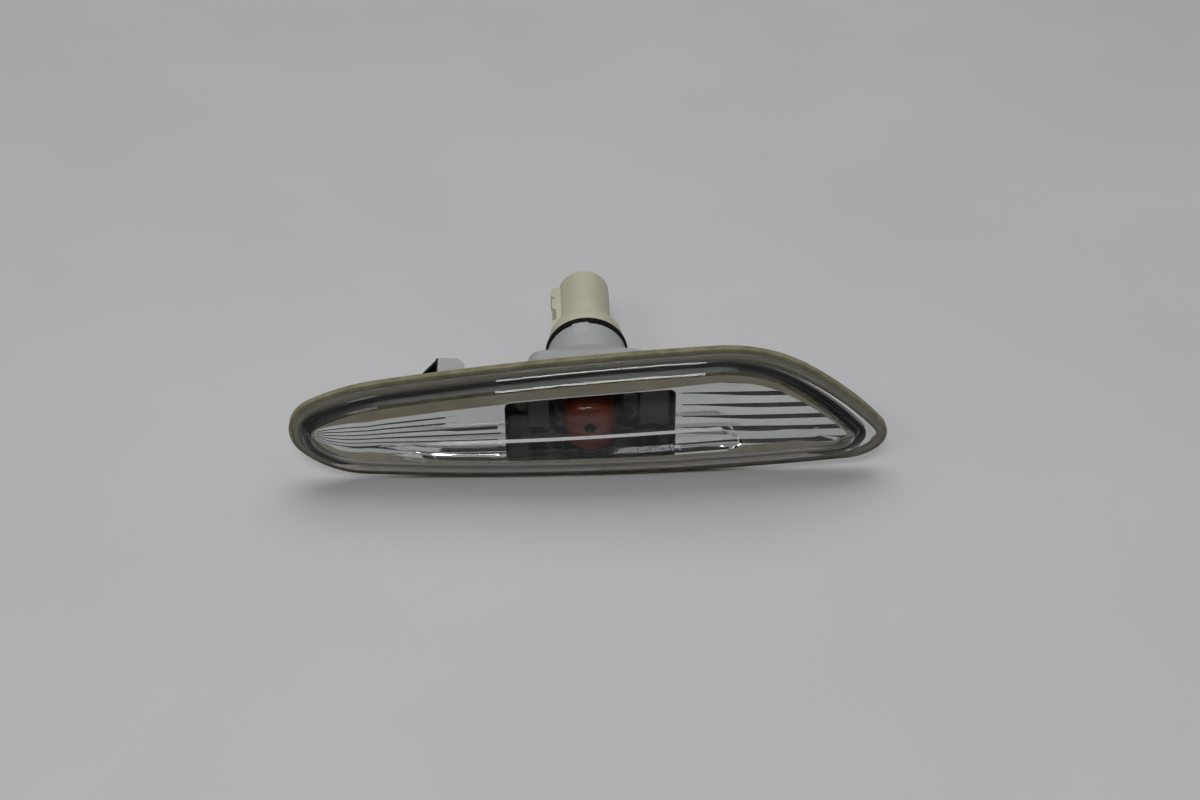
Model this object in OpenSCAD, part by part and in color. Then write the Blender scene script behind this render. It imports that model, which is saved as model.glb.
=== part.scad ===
// Side repeater lamp of a car: clear leaf-shaped lens, fluted reflector, foam gasket, housing with
// a collar, and a twist-in bulb holder with an amber wedge-base bulb.
// Millimetres. X runs along the lamp, Y points into the car, -Y is the side that is seen.
// The origin is on the panel's outer face, at the axis of the bulb holder.

/* [Outline of the gasket] */
// Overall length of the gasket
ring_len = 140; // [130:1:150]
// Height of the left-most point above the bulb axis
nose_z = -1.6; // [-3:0.1:0]
// How far the right-most point lies below the left-most one
tip_drop = 4; // [2.5:0.1:5]
// Radius at the left end
nose_r = 8.7; // [8:0.1:10]
// Radius of the cheek above the left end
cheek_r = 53; // [45:1:60]
// Radius of the shoulder on the upper right
shoulder_r = 36; // [30:1:40]
// Radius at the right end
tip_r = 5.4; // [5:0.1:6.5]
// Radius under the right end
tail_r = 12.3; // [10:0.1:14]
// Thickness of the foam gasket
gasket_t = 1.6; // [1.2:0.1:2.2]
// Width of the foam gasket
gasket_w = 4.5; // [3.8:0.1:4.6]
// How much narrower the gasket is at the tip
tip_open = 2.2; // [1.6:0.1:2.4]

/* [Lens] */
// How far the lens flange lies inside the edge of the gasket
flange_inset = 0.8; // [0.5:0.1:1]
// Thickness of the lens flange
flange_t = 1.3; // [1:0.1:2]
// Width of the flat face of the flange
flange_w = 1.5; // [1.2:0.1:1.8]
// Run of the step from the flange up to the edge of the crown
step_run = 2; // [1.8:0.1:2.2]
// How much shorter that run is along the lower edge
low_step_less = 1.4; // [1:0.1:1.5]
// Height of the crown's edge above the flange
edge_h = 2.4; // [2.2:0.1:2.6]
// Rise of the crest above the crown's edge
crest_rise = 3.8; // [3.4:0.1:4.4]
// Wall of the lens
lens_wall = 1.9; // [1.6:0.1:2.1]
// Width of the side wall of the lens where it meets the crown
side_wall = 1.2; // [1:0.1:1.5]
// How far the crown stays back from the tip, beyond the step
tip_pull = 3; // [2:0.1:4]
// Number of prisms inside the lower half of the crown
rib_count = 3; // [2:1:4]
// Depth of the prisms
rib_depth = 1.2; // [0.8:0.1:1.3]
// Left end of the prisms
rib_x0 = -46; // [-50:1:-36]
// Right end of the prisms
rib_x1 = 35; // [30:1:40]

/* [Reflector] */
// Gap between the reflector and the lens all round
reflector_gap = 0.4; // [0.4:0.05:0.6]
// Thickness of the reflector sheet
reflector_t = 1; // [0.8:0.1:1.2]
// Height of the flutes
flute_h = 0.5; // [0.3:0.05:0.7]
// Width of the plain border above the flutes
border_top = 2.7; // [2.2:0.1:3]
// Width of the plain border below the flutes
border_low = 2.4; // [1.8:0.1:2.8]
// Number of flutes on the left
flutes_left = 7; // [5:1:9]
// How many of them, counted from the top, stop short of the window
flutes_short = 3; // [0:1:4]
// Pitch of the flutes on the right
flute_pitch = 3.3; // [2.8:0.1:3.6]
// Length of the window for the bulb
window_len = 39.4; // [36:0.2:42]
// Top of the window at its middle
window_top = 8.1; // [7.6:0.1:8.3]
// Bottom of the window
window_low = -8.4; // [-8.5:0.1:-7.8]
// Rise of the window's top edge along its length
window_rise = 3; // [2:0.1:3.4]
// Corner radius of the window
window_r = 1.6; // [1:0.1:2.4]

/* [Housing] */
// Wall of the housing
housing_wall = 1.4; // [1.2:0.1:1.6]
// Half length of the well behind the window
well_half = 30.5; // [28:0.5:32]
// Depth of the well behind the panel plane
well_depth = 7.4; // [6.5:0.1:8]
// Radius of the collar at its rear rim
collar_r = 9.7; // [9.6:0.1:10.2]
// Distance of the collar's rear rim from the panel plane
collar_y = 24.6; // [22:0.1:27]
// Half width of the flared base of the collar
flare_half = 14.2; // [13:0.1:15]
// Distance of the straight part of that base from the panel plane
flare_depth = 10.6; // [9:0.1:12]
// Length of the clip tower behind the well
clip_len = 5; // [4:0.1:6]
// Width of the clip tower
clip_w = 5; // [4:0.1:6]
// Panel thickness that the fixed lug takes
panel_t = 1; // [0.7:0.1:1.2]

/* [Bulb holder] */
// Radius of the holder's barrel
barrel_r = 7; // [6.8:0.1:7.2]
// Radial reach of the three bayonet lugs
lug_reach = 1.2; // [1:0.1:1.3]
// Angular width of a lug in degrees
lug_angle = 34; // [28:1:38]
// Turn from locked to free in degrees
bayonet_turn = 45; // [40:1:50]
// Radius of the connector shroud
shroud_r = 6.4; // [6.3:0.1:6.8]
// Wall of the connector shroud
shroud_wall = 1.2; // [1:0.1:1.3]
// Distance of the shroud's end from the panel plane
shroud_y = 53.6; // [50:0.2:57]
// Thickness of the rubber seal ring
seal_t = 1.7; // [1.4:0.1:2]
// Running clearance of the bayonet
fit_gap = 0.3; // [0.2:0.05:0.35]

/* [Bulb] */
// Radius of the bulb's glass
bulb_r = 6.2; // [5.8:0.1:6.3]
// Wall of the glass
glass_wall = 0.8; // [0.6:0.1:1]
// Radius of the rounded end of the glass
dome_r = 3.8; // [3:0.1:5]
// Distance of the bulb's tip in front of the panel plane
bulb_tip = 4.4; // [3.8:0.1:4.8]
// Overall length of the bulb
bulb_len = 27; // [26:0.1:28]

/* [Hidden] */
$fn = 72;
tiny = 0.001;

// Angles of the outward normal at which the arcs of the outline meet, upper and lower chain
top_angles = [180, 117.5, 98.5, 92.8, 58.2, 41.2, 0];
low_angles = [180, 225, 266, 275.8, 311, 360];
// Number of stations along the outline
stations = 56;

// Planes across the lamp
panel_y = 0;
weld_y = panel_y - gasket_t;
flange_y = weld_y - flange_t;

// Insets of the outlines, from the edge of the gasket
foot_inset = flange_inset + flange_w;
crown_inset = foot_inset + step_run;
inner_inset = crown_inset + side_wall;
tray_gap = 0.3;
tray_inset = gasket_w + tray_gap;
weld_w = 0.4;
weld_inset = tray_inset + weld_w;
reflector_inset = inner_inset + reflector_gap;

// Smallest radius that an inset corner keeps, and how far a pulled-back tip rises for its pull
corner_r = 1.5;
tip_rise_share = 0.3;

function unit_arc(a0, a1) = [cos(a1) - cos(a0), sin(a1) - sin(a0)];
function total(v, i = 0) = i == len(v) - 1 ? v[i] : v[i] + total(v, i + 1);
function inset_r(r, d) = max(r - d, corner_r);

// The radii at the places i and j of a chain follow from its span, the others are given
function closed_radii(angles, radii, i, j, span) =
    let (others = total([for (k = [0:len(radii) - 1])
             k == i || k == j ? [0, 0] : radii[k] * unit_arc(angles[k], angles[k + 1])]),
         rest = span - others,
         p = unit_arc(angles[i], angles[i + 1]),
         q = unit_arc(angles[j], angles[j + 1]),
         det = p.x * q.y - p.y * q.x,
         ri = (rest.x * q.y - rest.y * q.x) / det,
         rj = (p.x * rest.y - p.y * rest.x) / det)
    [for (k = [0:len(radii) - 1]) k == i ? ri : k == j ? rj : radii[k]];

// Each arc as centre x, centre z, radius, first x and last x
function placed_arcs(angles, radii, at, k = 0) =
    k == len(radii) ? [] :
    let (c = at - radii[k] * [cos(angles[k]), sin(angles[k])],
         to = c + radii[k] * [cos(angles[k + 1]), sin(angles[k + 1])])
    concat([[c.x, c.y, radii[k], at.x, to.x]], placed_arcs(angles, radii, to, k + 1));

// An inset outline: its upper arcs, lower arcs, first x and last x
function outline(d_end, d_top, d_low, pull = 0) =
    let (at = [-ring_len / 2 + d_end, nose_z],
         span = [ring_len - 2 * d_end - pull, -tip_drop + tip_rise_share * max(pull, 0)],
         upper = [inset_r(nose_r, d_top), cheek_r - d_top, 0, shoulder_r - d_top, 0,
             inset_r(tip_r, d_top)],
         lower = [inset_r(nose_r, d_low), 0, 0, inset_r(tail_r, d_low), inset_r(tip_r, d_low)])
    [placed_arcs(top_angles, closed_radii(top_angles, upper, 2, 4, span), at),
     placed_arcs(low_angles, closed_radii(low_angles, lower, 1, 2, span), at),
     at.x, at.x + span.x];

function z_on(arcs, side, x) =
    [for (a = arcs) if (x >= a[3] - tiny && x <= a[4] + tiny)
        a[1] + side * sqrt(max(0, a[2] * a[2] - (x - a[0]) * (x - a[0])))][0];
function top_z(o, x) = z_on(o[0], 1, x);
function low_z(o, x) = z_on(o[1], -1, x);
function station(o, k) = o[2] + (o[3] - o[2]) * (1 - cos(180 * k / stations)) / 2;

// Points [x, z] round an outline: the upper edge to the right, then the lower edge back
function points(o) = concat(
    [for (k = [0:stations]) let (x = station(o, k)) [x, top_z(o, x)]],
    [for (k = [stations - 1:-1:1]) let (x = station(o, k)) [x, low_z(o, x)]]);

gasket_edge = outline(0, 0, 0);
gasket_hole = outline(gasket_w, gasket_w, gasket_w, -tip_open);
flange_edge = outline(flange_inset, flange_inset, flange_inset);
flange_foot = outline(foot_inset, foot_inset, foot_inset, tip_pull / 2);
crown_edge = outline(crown_inset, crown_inset, crown_inset - low_step_less, tip_pull);
cavity_edge = outline(inner_inset, inner_inset, inner_inset, tip_pull);
tray_edge = outline(tray_inset, tray_inset, tray_inset, tip_pull / 2);
cavity_foot = outline(weld_inset, weld_inset, weld_inset, tip_pull - weld_w);
reflector_edge = outline(reflector_inset, reflector_inset, reflector_inset, tip_pull + 1);

// Height of the crown over the flange at [x, z]
crest_share = 0.5;
crest_exponent = 1.6;
swell_exponent = 0.6;
function swell(x) =
    let (m = (crown_edge[2] + crown_edge[3]) / 2, h = (crown_edge[3] - crown_edge[2]) / 2)
    pow(max(0, 1 - pow((x - m) / h, 2)), swell_exponent);
function flank(from, to, t) = from + (to - from) * (1 - pow(1 - t, crest_exponent));
function crown_h(x, z) =
    let (zt = top_z(crown_edge, x), zb = low_z(crown_edge, x),
         v = zt - zb < tiny ? 0 : min(1, max(0, (zt - z) / (zt - zb))),
         crest = edge_h + crest_rise * swell(x))
    flank(edge_h, crest, v <= crest_share ? v / crest_share : (1 - v) / (1 - crest_share));

// Draws its 2D child, given as x and z, as a plate from y0 to y1
module plate(y0, y1) {
    translate([0, y1, 0])
        rotate([90, 0, 0])
            linear_extrude(y1 - y0)
                children();
}

// Turns the profile [radius, y] of its child round the bulb axis
module turned(angle = 360) {
    rotate([-90, 0, 0])
        rotate_extrude(angle = angle)
            children();
}

// A plain cylinder on the bulb axis
module drum(r, y0, y1) {
    translate([0, y0, 0])
        rotate([-90, 0, 0])
            cylinder(r = r, h = y1 - y0);
}

// A sector of a ring on the bulb axis, centred on the angle a from +X, right-handed about +Y
module ring_sector(r0, r1, y0, y1, a, width) {
    rotate([0, a - width / 2, 0])
        turned(width)
            polygon([[r0, y0], [r1, y0], [r1, y1], [r0, y1]]);
}

// A surface over an outline: row 0 is the upper edge and the last row the lower one.
// The ends of all rows are the two points where the edges meet.
n_ring = 2 * stations;
n_inner = stations - 1;
function level(y) = [for (i = [0:n_ring - 1]) y];
function ring_of(pts, ys) = [for (i = [0:n_ring - 1]) [pts[i].x, ys[i], pts[i].y]];
function cell(base, extra, rows, r, k) =
    k == 0 ? base :
    k == stations ? base + stations :
    r == 0 ? base + k :
    r == rows ? base + n_ring - k :
    extra + (r - 1) * n_inner + k - 1;
function skin(base, extra, rows) =
    [for (r = [0:rows - 1], k = [0:stations - 1])
        let (a = cell(base, extra, rows, r, k), b = cell(base, extra, rows, r, k + 1),
             c = cell(base, extra, rows, r + 1, k + 1), d = cell(base, extra, rows, r + 1, k))
        each (k == 0 ? [[a, b, c]] : k == stations - 1 ? [[a, b, d]] : [[a, b, c], [a, c, d]])];
function turned_over(faces) = [for (f = faces) [f[2], f[1], f[0]]];
function band(base0, base1) =
    [for (i = [0:n_ring - 1]) let (j = (i + 1) % n_ring)
        each [[base0 + i, base1 + j, base1 + i], [base0 + i, base0 + j, base1 + j]]];

// Rows of the outer surface, and of the inner one with its prisms
outer_rows = 12;
crest_row = 6;
inner_rows = crest_row + 2 * rib_count;
// Each prism rises over this share of its pitch and falls over the rest
rib_step_share = 0.1;
rib_fade = 12;
rib_end = 1.6;
// The upper and the lower corner of the block of prisms are cut off by these lengths
corner_cut = [5, 3];
function inner_share(r) =
    r <= crest_row ? crest_share * r / crest_row :
    let (q = r - crest_row - 1, whole = floor(q / 2))
    crest_share + (1 - crest_share) * (whole + [rib_step_share, 1][q % 2]) / rib_count;
function rib_x_end(r) =
    let (q = (r - crest_row - 1) / 2)
    rib_x1 - corner_cut[0] * max(0, 1 - q) - corner_cut[1] * max(0, q - rib_count + 2);
function rib_at(r, x) =
    r <= crest_row || (r - crest_row) % 2 == 0 ? 0 :
    rib_depth * min(1, max(0, (x - rib_x0) / rib_fade)) * min(1, max(0, (rib_x_end(r) - x) / rib_end));

function between(o, x, share) = top_z(o, x) + (low_z(o, x) - top_z(o, x)) * share;

module lens() {
    rear = points(flange_edge);
    foot = points(flange_foot);
    crown = points(crown_edge);
    cavity = points(cavity_edge);
    outer_points = [for (r = [1:outer_rows - 1], k = [1:stations - 1])
        let (x = station(crown_edge, k), z = between(crown_edge, x, r / outer_rows))
        [x, flange_y - crown_h(x, z), z]];
    inner_points = [for (r = [1:inner_rows - 1], k = [1:stations - 1])
        let (x = station(cavity_edge, k), z = between(cavity_edge, x, inner_share(r)))
        [x, flange_y - crown_h(x, z) + lens_wall + rib_at(r, x), z]];
    all_points = concat(
        ring_of(rear, level(weld_y)),
        ring_of(rear, level(flange_y)),
        ring_of(foot, level(flange_y)),
        ring_of(crown, [for (p = crown) flange_y - crown_h(p.x, p.y)]),
        ring_of(points(cavity_foot), level(weld_y)),
        ring_of(cavity, [for (p = cavity) flange_y - crown_h(p.x, p.y) + lens_wall]),
        outer_points, inner_points);
    first_outer = 6 * n_ring;
    first_inner = first_outer + len(outer_points);
    color([0.86, 0.88, 0.88, 0.45])
        polyhedron(all_points, concat(
            band(0, n_ring), band(n_ring, 2 * n_ring), band(2 * n_ring, 3 * n_ring),
            skin(3 * n_ring, first_outer, outer_rows),
            band(4 * n_ring, 0), band(5 * n_ring, 4 * n_ring),
            turned_over(skin(5 * n_ring, first_inner, inner_rows))), convexity = 6);
}

module gasket() {
    color([0.42, 0.4, 0.3])
        plate(weld_y, panel_y)
            difference() {
                polygon(points(gasket_edge));
                polygon(points(gasket_hole));
            }
}

// The sheet lies on the tray; its field is the plane that the flutes rise from
field_y = weld_y - reflector_t;
cove_h = 0.3;
// Depth that a raised form sinks into the sheet
sink = 0.2;
// A flute's flat top starts and ends at these shares of its width
flute_crown = [0.3, 0.7];
// A flute fills these shares of its place in the left field, and this share of its pitch in the right one
flute_fill = [0.1, 0.96];
flute_straight_fill = 0.94;
// Height of a fanned flute at its narrow end, as a share of its height at the window
flute_narrow_h = 0.3;
flute_margin = 1;
flute_short_x = -30;

// The border keeps its width along the middle and narrows to border_end at both ends,
// over border_run at the left and along the lower edge, over border_run_tip at the upper right
border_end = 0.4;
border_run = 12;
border_run_tip = 50;
function border(x, w, tip_run) =
    border_end + (w - border_end)
    * min(1, (x - reflector_edge[2]) / border_run, (reflector_edge[3] - x) / tip_run);
reflector_ring = points(reflector_edge);
field_ring = [for (i = [0:n_ring - 1])
    let (p = reflector_ring[i],
         along = reflector_ring[(i + 1) % n_ring] - reflector_ring[(i + n_ring - 1) % n_ring],
         w = i <= stations ? border(p.x, border_top, border_run_tip) : border(p.x, border_low, border_run))
    p + w * [along.y, -along.x] / norm(along)];
field_top = [for (i = [0:stations]) field_ring[i]];
field_low = [for (i = [stations:n_ring]) field_ring[i % n_ring]];
function field_z(x, share) =
    lookup(x, field_top) + (lookup(x, field_low) - lookup(x, field_top)) * share;

// A rounded quadrangle between two heights whose top edge rises by rise to the right
module slanted_pane(half, low, top, rise, r) {
    hull()
        for (side = [-1, 1]) {
            translate([side * (half - r), low + r])
                circle(r = r, $fn = 32);
            translate([side * (half - r), top + side * rise / 2 - r])
                circle(r = r, $fn = 32);
        }
}

module cove() {
    polyhedron(concat(
        ring_of(reflector_ring, level(field_y + sink)),
        ring_of(reflector_ring, level(field_y - cove_h)),
        ring_of(field_ring, level(field_y)),
        ring_of(field_ring, level(field_y + sink))),
        concat(band(0, n_ring), band(n_ring, 2 * n_ring), band(2 * n_ring, 3 * n_ring),
            band(3 * n_ring, 0)), convexity = 6);
}

// One flute of the left field, between two shares of the field's height, as far as x1
flute_steps = 8;
module fanned_flute(from, to, x1) {
    x0 = field_ring[0].x + border_end;
    shares = [from, from, from + (to - from) * flute_crown[0], from + (to - from) * flute_crown[1], to, to];
    rise = [-sink, 0, 1, 1, 0, -sink];
    pts = [for (s = [0:flute_steps]) let (x = x0 + (x1 - x0) * s / flute_steps)
        each [for (q = [0:5])
            let (swelling = flute_narrow_h + (1 - flute_narrow_h) * s / flute_steps,
                 up = rise[q] < 0 ? -sink : rise[q] * flute_h * swelling)
            [x, field_y - up, field_z(x, shares[q])]]];
    sides = [for (s = [0:flute_steps - 1], q = [0:5])
        let (a = 6 * s + q, b = 6 * s + (q + 1) % 6, c = b + 6, d = a + 6)
        each [[a, c, b], [a, d, c]]];
    last = 6 * flute_steps;
    polyhedron(pts, concat(sides,
        [[for (q = [0:5]) q], [for (q = [5:-1:0]) last + q]]), convexity = 4);
}

// The straight flutes of the right field, cut off along the field's edge
flute_first_z = 11.8;
flutes_right = 6;
module straight_flutes() {
    x0 = window_len / 2 + flute_margin;
    intersection() {
        plate(field_y - 2 * flute_h, field_y + sink)
            polygon(field_ring);
        for (i = [0:flutes_right - 1])
            translate([x0, 0, flute_first_z - i * flute_pitch])
                rotate([90, 0, 90])
                    linear_extrude(ring_len / 2)
                        polygon([[field_y + sink, 0], [field_y, 0],
                            [field_y - flute_h, -flute_crown[0] * flute_pitch],
                            [field_y - flute_h, -flute_crown[1] * flute_pitch],
                            [field_y, -flute_straight_fill * flute_pitch],
                            [field_y + sink, -flute_straight_fill * flute_pitch]]);
    }
}

module reflector() {
    color([0.78, 0.79, 0.8])
        difference() {
            union() {
                plate(field_y, weld_y)
                    polygon(reflector_ring);
                cove();
                for (i = [0:flutes_left - 1])
                    fanned_flute((i + flute_fill[0]) / flutes_left, (i + flute_fill[1]) / flutes_left,
                        i < flutes_short ? flute_short_x : -window_len / 2 - flute_margin);
                straight_flutes();
            }
            plate(field_y - 2, weld_y + 1)
                slanted_pane(window_len / 2, window_low, window_top, window_rise, window_r);
        }
}

// The tray closes the lens from behind, the well and the collar hang from it
tray_y = panel_y - 0.1;
// The well is this much lower and higher than the window
well_below = 1.5;
well_above = 1.4;
well_low = window_low - well_below;
well_top = window_top + well_above;
well_corner = 3;
ledge_t = 2.4;
ledge_y = collar_y - ledge_t;
ledge_bore = barrel_r + fit_gap;
bore_r = barrel_r + lug_reach + fit_gap;
lug_t = 2;
lug_y = ledge_y - fit_gap;
flare_low = -10.6;
flare_top = 11.4;
flare_run = 4.6;
flare_end = flare_depth + flare_run;
flare_rim = 0.5;

module flare() {
    hull() {
        plate(tray_y, flare_depth)
            slanted_pane(flare_half, flare_low, flare_top, 0, well_corner);
        drum(collar_r, flare_end, flare_end + flare_rim);
    }
}

// The tower that the spring sits on, in the plane of X and Y, and its place above the bulb axis
clip_x = -well_half - clip_len;
clip_y = 13.8;
clip_top = 7.6;
clip_chamfer = 2.4;
clip_flat = clip_len - 0.4;
clip_root = clip_len + 1.2;
module clip_tower() {
    translate([0, 0, clip_top - clip_w])
        linear_extrude(clip_w)
            polygon([[clip_x, tray_y], [clip_x, clip_y], [clip_x + clip_flat, clip_y],
                [clip_x + clip_root, clip_y - clip_chamfer], [clip_x + clip_root, tray_y]]);
}

// The lug hooks behind the far edge of the panel's hole
lug_hook_len = 4;
lug_hook_t = 2.6;
lug_hook_w = 8;
module fixed_lug() {
    hook_y = panel_y + panel_t + fit_gap;
    translate([0, 0, -lug_hook_w / 2])
        linear_extrude(lug_hook_w)
            polygon([[well_half - 1, hook_y], [well_half + lug_hook_len - 1, hook_y],
                [well_half + lug_hook_len, hook_y + 1], [well_half + 1, hook_y + lug_hook_t],
                [well_half - 1, hook_y + lug_hook_t]]);
}

// The bayonet: where the lugs enter, lie when locked and meet their stops
notch_angle = 90;
notch_play = 6;
// Small step that keeps the notches and stops off the surfaces of the bores
bore_step = fit_gap / 3;
notch_r = bore_r + bore_step;
stop_width = 5;
stop_play = 1.5;
stop_root = 0.5;
locked_angle = notch_angle - bayonet_turn;
stop_angle = locked_angle - (lug_angle + stop_width) / 2 - stop_play;
module housing() {
    color([0.56, 0.57, 0.57])
        union() {
            difference() {
                union() {
                    plate(weld_y, tray_y)
                        polygon(points(tray_edge));
                    plate(tray_y, well_depth)
                        slanted_pane(well_half, well_low, well_top, window_rise, well_corner);
                    flare();
                    drum(collar_r, flare_end, collar_y);
                    clip_tower();
                    fixed_lug();
                }
                plate(weld_y - 1, well_depth - housing_wall)
                    slanted_pane(well_half - housing_wall, well_low + housing_wall,
                        well_top - housing_wall, window_rise, well_corner - housing_wall);
                drum(bore_r, well_depth - housing_wall - tiny, ledge_y);
                drum(ledge_bore, ledge_y - tiny, collar_y + 1);
                for (i = [0:2])
                    ring_sector(ledge_bore - 1, notch_r, ledge_y - 1, collar_y + 1,
                        notch_angle + 120 * i, lug_angle + notch_play);
            }
            for (i = [0:2])
                ring_sector(ledge_bore + bore_step, bore_r + stop_root, lug_y - lug_t, ledge_y + stop_root,
                    stop_angle + 120 * i, stop_width);
        }
}

// The leaf clasps the end of the tower and flares out towards the panel
leaf_t = 0.5;
leaf_w = clip_w - 0.6;
leaf_reach = 4.6;
leaf_grip = 5;
leaf_lap = 2.2;
knee_y = 6.2;
module retaining_spring() {
    x = clip_x;
    y = clip_y;
    color([0.1, 0.1, 0.11])
        translate([0, 0, clip_top - clip_w / 2 - leaf_w / 2])
            linear_extrude(leaf_w)
                polygon([[x, y - leaf_grip], [x, y], [x + leaf_lap, y], [x + leaf_lap, y + leaf_t],
                    [x - leaf_t, y + leaf_t], [x - 1.1 * leaf_t, y - 0.2],
                    [x - leaf_reach, knee_y], [x - leaf_reach + 1.6, knee_y - 3.6],
                    [x - leaf_reach + 2.1, knee_y - 3.4], [x - leaf_reach + 0.6, knee_y + 0.1],
                    [x - leaf_t, y - 1.6], [x - leaf_t, y - leaf_grip]]);
}

// Stack along the bulb axis behind the collar
rim_gap = 0.1;
seal_y = collar_y + rim_gap;
holder_flange_y = seal_y + seal_t;
holder_flange_t = 1.8;
flange_lap = 1.4;
holder_flange_r = ledge_bore + flange_lap;
shroud_y0 = holder_flange_y + holder_flange_t;
seal_gap = 0.4;
seal_outer_r = collar_r + seal_gap;
seal_bore_r = ledge_bore + seal_gap;
barrel_y = 13;
socket_r = 5.5;
socket_end = 31;
divider_t = 6;
plug_bore_y = socket_end + divider_t;

// Contact strip: a blade in the shroud and a leg beside the bulb's base
blade_x = 2.75;
blade_w = 2.8;
blade_t = 0.8;
blade_len = 11;
blade_end = plug_bore_y + blade_len;
wedge_half = 4.75;
wedge_t = 4.6;
wire_r = 0.22;
leg_z = wedge_t / 2 + 2 * wire_r;
leg_t = 0.5;
leg_w = 2.4;
leg_y = 16.5;

module contact_strip() {
    translate([-blade_x - leg_w / 2, leg_y, leg_z])
        cube([leg_w, socket_end - leg_y, leg_t]);
    translate([-blade_x - leg_w / 2, socket_end - leg_t, -blade_w / 2])
        cube([leg_w, leg_t, leg_z + leg_t + blade_w / 2]);
    translate([-blade_x - blade_t / 2, socket_end - leg_t, -blade_w / 2])
        cube([blade_t, blade_end - socket_end + leg_t, blade_w]);
}

// The rail that the plug's latch runs over, with its recess and its catch near the open end
rail_reach = 1.8;
rail_half = 2.3;
rail_back = 1.4;
module latch_rail() {
    x = -shroud_r - rail_reach;
    end_y = shroud_y - rail_back;
    translate([0, 0, -rail_half])
        linear_extrude(2 * rail_half)
            polygon([[-shroud_r + 1, shroud_y0 - 0.5], [x, shroud_y0 - 0.5], [x, end_y - 15],
                [x + 1, end_y - 14.4], [x + 1, end_y - 10], [x, end_y - 9.4], [x, end_y - 5],
                [x + 0.9, end_y - 5], [x - 0.3, end_y - 3.4], [x - 0.3, end_y - 1], [x + 0.8, end_y],
                [-shroud_r + 1, end_y]]);
}

module bulb_holder() {
    color([0.8, 0.79, 0.68])
        difference() {
            union() {
                drum(barrel_r, barrel_y, holder_flange_y + 0.5);
                for (i = [0:2])
                    ring_sector(barrel_r - 1, barrel_r + lug_reach, lug_y - lug_t, lug_y,
                        locked_angle + 120 * i, lug_angle);
                drum(holder_flange_r, holder_flange_y, shroud_y0);
                drum(shroud_r, shroud_y0 - 0.5, shroud_y);
                latch_rail();
            }
            drum(socket_r, barrel_y - 1, socket_end);
            drum(shroud_r - shroud_wall, plug_bore_y, shroud_y + 1);
            for (turn = [0, 180])
                rotate([0, turn, 0])
                    contact_strip();
        }
}

module seal_ring() {
    color([0.06, 0.06, 0.06])
        turned()
            polygon([[seal_bore_r, seal_y], [seal_outer_r, seal_y],
                [seal_outer_r, seal_y + seal_t], [seal_bore_r, seal_y + seal_t]]);
}

module contact_left() {
    color([0.72, 0.62, 0.4])
        contact_strip();
}

module contact_right() {
    color([0.72, 0.62, 0.4])
        rotate([0, 180, 0])
            contact_strip();
}

// The bulb: a domed glass tube pinched into a flat base that holds two wires
bulb_end = bulb_len - bulb_tip;
neck_y = 11.2;
neck_r = 4.6;
wire_x = 2.75;
wire_top = 4.5;

module envelope(r, dome, tip_y, low_y, low_r) {
    turned()
        intersection() {
            union() {
                translate([r - dome, tip_y + dome])
                    circle(r = dome);
                translate([0, tip_y])
                    square([r - dome, dome]);
                translate([0, tip_y + dome])
                    square([r, neck_y - 4 - tip_y - dome]);
                polygon([[0, neck_y - 4 - tiny], [r, neck_y - 4 - tiny], [low_r, low_y], [0, low_y]]);
            }
            translate([0, tip_y - 1])
                square([r + 1, bulb_len]);
        }
}

module bulb_glass() {
    color([0.75, 0.3, 0.12, 0.8])
        difference() {
            union() {
                envelope(bulb_r, dome_r, -bulb_tip, neck_y, neck_r);
                translate([-wedge_half, neck_y - 1.6, -wedge_t / 2])
                    cube([2 * wedge_half, bulb_end - neck_y + 1.6, wedge_t]);
            }
            envelope(bulb_r - glass_wall, dome_r - glass_wall, glass_wall - bulb_tip, neck_y - 1.6,
                neck_r - glass_wall);
            for (side = [-1, 1])
                translate([side * wire_x, neck_y - 4, 0])
                    rotate([-90, 0, 0])
                        cylinder(r = wire_r, h = bulb_len, $fn = 24);
        }
}

// Wire from the filament through the base, folded over its end and along its broad side
module lead_path() {
    side_z = wedge_t / 2 + wire_r;
    translate([-wire_x, wire_top, 0])
        rotate([-90, 0, 0])
            cylinder(r = wire_r, h = bulb_end + wire_r - wire_top, $fn = 24);
    translate([-wire_x, bulb_end + wire_r, 0])
        cylinder(r = wire_r, h = side_z, $fn = 24);
    translate([-wire_x, bulb_end - 4, side_z])
        rotate([-90, 0, 0])
            cylinder(r = wire_r, h = 4 + wire_r, $fn = 24);
    translate([-wire_x, bulb_end + wire_r, side_z])
        sphere(r = wire_r, $fn = 24);
    translate([-wire_x, bulb_end + wire_r, 0])
        sphere(r = wire_r, $fn = 24);
}

module lead_wire_left() {
    color([0.7, 0.7, 0.7])
        lead_path();
}

module lead_wire_right() {
    color([0.7, 0.7, 0.7])
        rotate([0, 180, 0])
            lead_path();
}

// The coil hangs in an arc between the wires
filament_r = 0.3;
module filament() {
    color([0.45, 0.45, 0.47])
        translate([0, wire_top, 0])
            rotate([180, 0, 0])
                rotate_extrude(angle = 180)
                    translate([wire_x, 0])
                        circle(r = filament_r, $fn = 24);
}

lens();
reflector();
gasket();
housing();
retaining_spring();
bulb_holder();
seal_ring();
contact_left();
contact_right();
bulb_glass();
filament();
lead_wire_left();
lead_wire_right();
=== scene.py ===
"""Looks of a side repeater lamp: clear lens, fluted reflector, foam gasket, housing and holder.

Metres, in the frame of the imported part: +X along the lamp, +Y into the car, +Z up.
Sizes of the modelled forms are named in millimetres, as in the part's source.
"""
import math

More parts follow.
